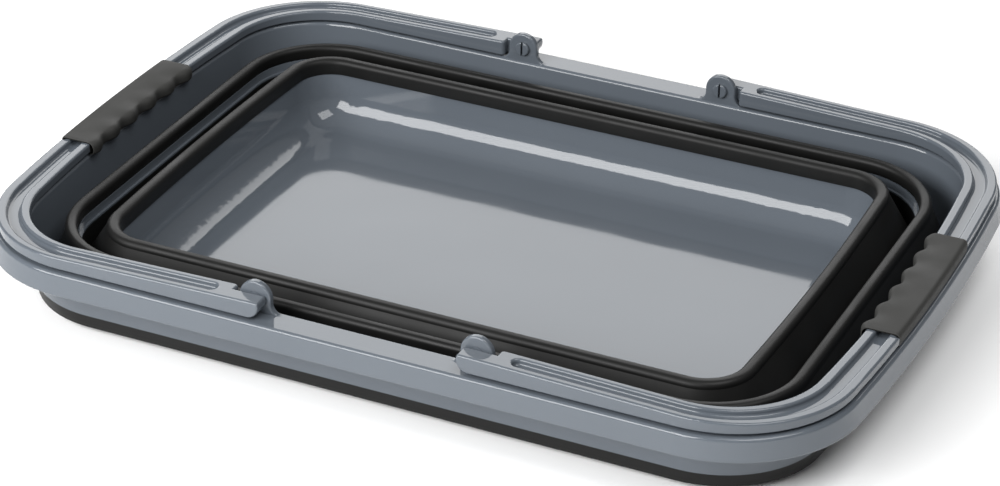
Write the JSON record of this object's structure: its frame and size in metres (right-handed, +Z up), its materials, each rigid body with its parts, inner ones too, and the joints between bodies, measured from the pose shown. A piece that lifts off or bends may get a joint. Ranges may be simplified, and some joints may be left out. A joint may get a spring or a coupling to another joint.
{
  "type": "foot spa basin",
  "caption": "Folding foot basin: a rim with swing handles and soft grips, a middle ring and a glossy tray, joined by soft fold bands that let it collapse flat.",
  "frame": {"origin": "on the table under the middle of the tray, with the basin folded flat", "axes": "+X along the long side, +Y across, +Z up"},
  "size_m": [0.4596, 0.3296, 0.0572],
  "materials": {
    "grey_plastic": "gloss",
    "black_soft_band": "satin",
    "soft_grip": "matt"
  },
  "bodies": {
    "base_tray": {"base_tray": "grey_plastic"},
    "mid_ring": {"mid_ring": "grey_plastic", "lower_fold_band": "black_soft_band"},
    "rim": {"rim_frame": "grey_plastic", "upper_fold_band": "black_soft_band"},
    "handle_left": {"handle_left": "grey_plastic", "grip_left": "soft_grip"},
    "handle_right": {"handle_right": "grey_plastic", "grip_right": "soft_grip"}
  },
  "joints": [
    {"name": "mid_ring_lift", "type": "slide", "parent": "base_tray", "child": "mid_ring", "axis": [0, 0, 1], "range_m": [0, 0.0484], "deforming": ["lower_fold_band"]},
    {"name": "rim_lift", "type": "slide", "parent": "mid_ring", "child": "rim", "axis": [0, 0, 1], "range_m": [0, 0.0616], "deforming": ["upper_fold_band"]},
    {"name": "left_handle_swing", "type": "hinge", "parent": "rim", "child": "handle_left", "pos_m": [-0.0573, 0, 0.0489], "axis": [0, 1, 0], "range_deg": [0, 108]},
    {"name": "right_handle_swing", "type": "hinge", "parent": "rim", "child": "handle_right", "pos_m": [0.0573, 0, 0.0489], "axis": [0, -1, 0], "range_deg": [0, 108]}
  ]
}
